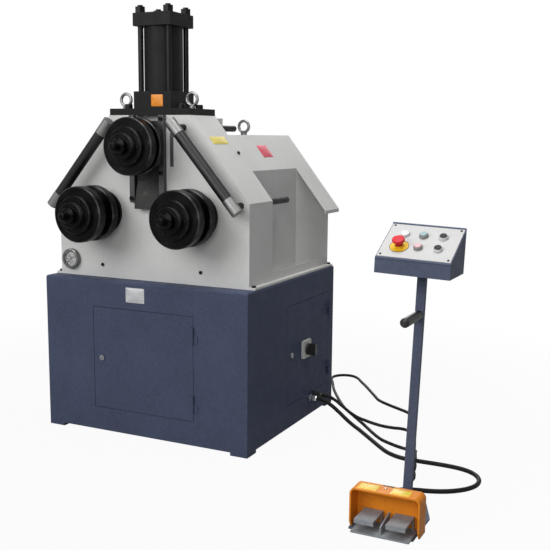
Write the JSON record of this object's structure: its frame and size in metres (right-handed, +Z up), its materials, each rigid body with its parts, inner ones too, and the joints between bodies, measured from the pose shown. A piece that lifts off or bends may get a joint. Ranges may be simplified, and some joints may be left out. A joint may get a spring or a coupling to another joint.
{
  "type": "hydraulic angle roll bender",
  "caption": "Hydraulic section bender: house-shaped frame on a cabinet, grooved rolls below and one on a cylinder-driven slide, with control stand and foot switch.",
  "frame": {"origin": "On the floor, at the centre of the four anchor holes in the cabinet's corner feet.", "axes": "+Z is up, -Y is the side that the rolls face, +X is to the right seen from the front, towards the control stand."},
  "size_m": [1.7673, 1.6769, 1.662],
  "materials": {
    "cabinet_paint": "dark slate-blue fine-textured powder coat",
    "body_paint": "light warm-grey hammered enamel, half gloss",
    "black_steel": "black-oxide turned steel with fine turning marks",
    "black_paint": "satin black enamel",
    "plain_steel": "ground bare steel",
    "bright_steel": "bright zinc and chrome plate",
    "guard_paint": "orange enamel, slightly worn",
    "pedal_alloy": "grey cast alloy",
    "panel_plate": "pale grey panel sheet",
    "black_plastic": "moulded black plastic",
    "grey_plastic": "moulded grey plastic",
    "red_plastic": "moulded red plastic",
    "pink_plastic": "moulded pale red plastic",
    "green_plastic": "moulded blue-green plastic",
    "yellow_plate": "yellow disc",
    "lamp_plastic": "milky white lens",
    "cable_rubber": "black rubber sheath",
    "wiring_plate": "pale mounting plate with moulded modules"
  },
  "bodies": {
    "machine": {"base_cabinet": "cabinet_paint", "hinge_pins": "plain_steel", "front_frame": "body_paint", "slide_gibs": "plain_steel", "frame_bolts": "black_steel", "hood": "body_paint", "cylinder_plate": "black_paint", "eye_bolts": "bright_steel", "cylinder_flanges": "black_paint", "cylinder_tube": "black_paint", "tie_rods": "black_steel", "lower_bearings": "black_steel", "drive_motors": "black_paint", "gauge_case": "bright_steel", "oil_tank": "body_paint", "pump_motor": "cabinet_paint", "electrical_plate": "wiring_plate", "cable_glands": "black_plastic", "control_stand": "cabinet_paint", "post_grip": "cable_rubber", "console_box": "cabinet_paint", "console_panel": "panel_plate", "button_bezels": "bright_steel", "pilot_lamp": "lamp_plastic", "estop_plate": "yellow_plate", "pedal_base": "pedal_alloy", "pedal_guard": "guard_paint", "pedal_cable": "cable_rubber", "control_cable": "cable_rubber", "loop_cable": "cable_rubber"},
    "front_door_leaf": {"front_door": "cabinet_paint"},
    "front_lock_cam": {"front_lock": "plain_steel"},
    "side_door_leaf": {"side_door": "cabinet_paint", "switch_plate": "grey_plastic"},
    "side_lock_cam": {"side_lock": "plain_steel"},
    "main_switch": {"switch_knob": "black_plastic"},
    "slide_carriage": {"slide_block": "plain_steel", "piston_rod": "bright_steel", "upper_bearing": "black_steel"},
    "upper_roll_set": {"upper_shaft": "plain_steel", "upper_roll": "black_steel", "upper_lock": "black_steel"},
    "lower_left_set": {"lower_left_shaft": "plain_steel", "lower_left_roll": "black_steel", "lower_left_lock": "black_steel"},
    "lower_right_set": {"lower_right_shaft": "plain_steel", "lower_right_roll": "black_steel", "lower_right_lock": "black_steel"},
    "left_guide": {"left_guide_carrier": "bright_steel"},
    "left_guide_tube": {"left_guide_roller": "black_steel"},
    "right_guide": {"right_guide_carrier": "bright_steel"},
    "right_guide_tube": {"right_guide_roller": "black_steel"},
    "needle": {"gauge_needle": "black_plastic"},
    "estop": {"estop_button": "red_plastic"},
    "start": {"start_button": "green_plastic"},
    "stop": {"stop_button": "pink_plastic"},
    "raise": {"raise_button": "black_plastic"},
    "lower": {"lower_button": "black_plastic"},
    "pedal_left": {"left_pedal": "pedal_alloy"},
    "pedal_right": {"right_pedal": "pedal_alloy"}
  },
  "joints": [
    {"name": "front_door_swing", "type": "hinge", "parent": "machine", "child": "front_door_leaf", "pos_m": [0.228, -0.412, 0.309], "axis": [0, 0, 1], "range_deg": [0, 110]},
    {"name": "front_lock_turn", "type": "hinge", "parent": "front_door_leaf", "child": "front_lock_cam", "pos_m": [-0.188, -0.406, 0.309], "axis": [0, 1, 0], "range_deg": [0, 90]},
    {"name": "side_door_swing", "type": "hinge", "parent": "machine", "child": "side_door_leaf", "pos_m": [0.464, 0.352, 0.309], "axis": [0, 0, 1], "range_deg": [0, 110]},
    {"name": "side_lock_turn", "type": "hinge", "parent": "side_door_leaf", "child": "side_lock_cam", "pos_m": [0.458, -0.027, 0.309], "axis": [-1, 0, 0], "range_deg": [0, 90]},
    {"name": "main_switch_turn", "type": "hinge", "parent": "side_door_leaf", "child": "main_switch", "pos_m": [0.47, 0.108, 0.309], "axis": [1, 0, 0], "range_deg": [0, 90]},
    {"name": "slide_travel", "type": "slide", "parent": "machine", "child": "slide_carriage", "axis": [0, 0, 1], "range_m": [-0.12, 0]},
    {"name": "upper_roll_spin", "type": "hinge", "parent": "slide_carriage", "child": "upper_roll_set", "pos_m": [0, -0.486, 1.137], "axis": [0, 1, 0], "continuous": true},
    {"name": "lower_right_spin", "type": "hinge", "parent": "machine", "child": "lower_right_set", "pos_m": [0.214, -0.512, 0.88], "axis": [0, 1, 0], "continuous": true},
    {"name": "lower_left_spin", "type": "hinge", "parent": "machine", "child": "lower_left_set", "pos_m": [-0.214, -0.512, 0.88], "axis": [0, 1, 0], "continuous": true},
    {"name": "left_guide_reach", "type": "slide", "parent": "machine", "child": "left_guide", "axis": [0, -1, 0], "range_m": [-0.03, 0.15]},
    {"name": "left_guide_spin", "type": "hinge", "parent": "left_guide", "child": "left_guide_tube", "pos_m": [-0.2745, -0.406, 1.067], "axis": [0.6524, 0, 0.7579], "continuous": true},
    {"name": "right_guide_reach", "type": "slide", "parent": "machine", "child": "right_guide", "axis": [0, -1, 0], "range_m": [-0.03, 0.15]},
    {"name": "right_guide_spin", "type": "hinge", "parent": "right_guide", "child": "right_guide_tube", "pos_m": [0.2745, -0.406, 1.067], "axis": [-0.6524, 0, 0.7579], "continuous": true},
    {"name": "gauge_turn", "type": "hinge", "parent": "machine", "child": "needle", "pos_m": [-0.374, -0.3515, 0.685], "axis": [0, 1, 0], "range_deg": [0, 270], "stiffness_Nm_per_rad": 0.0005},
    {"name": "estop_press", "type": "slide", "parent": "machine", "child": "estop", "axis": [-0.0319, 0.4903, -0.871], "range_m": [0, 0.006], "stiffness_N_per_m": 900},
    {"name": "start_press", "type": "slide", "parent": "machine", "child": "start", "axis": [-0.0319, 0.4903, -0.871], "range_m": [0, 0.004], "stiffness_N_per_m": 700},
    {"name": "stop_press", "type": "slide", "parent": "machine", "child": "stop", "axis": [-0.0319, 0.4903, -0.871], "range_m": [0, 0.004], "stiffness_N_per_m": 700},
    {"name": "raise_press", "type": "slide", "parent": "machine", "child": "raise", "axis": [-0.0319, 0.4903, -0.871], "range_m": [0, 0.004], "stiffness_N_per_m": 700},
    {"name": "lower_press", "type": "slide", "parent": "machine", "child": "lower", "axis": [-0.0319, 0.4903, -0.871], "range_m": [0, 0.004], "stiffness_N_per_m": 700},
    {"name": "left_pedal_press", "type": "hinge", "parent": "machine", "child": "pedal_left", "pos_m": [1.0705, -0.742, 0.04], "axis": [1, 0, 0], "range_deg": [0, 10], "stiffness_Nm_per_rad": 18},
    {"name": "right_pedal_press", "type": "hinge", "parent": "machine", "child": "pedal_right", "pos_m": [1.1695, -0.742, 0.04], "axis": [1, 0, 0], "range_deg": [0, 10], "stiffness_Nm_per_rad": 18}
  ],
  "couplings": [
    {"joint": "lower_left_spin", "follows": "lower_right_spin", "ratio": 1}
  ]
}
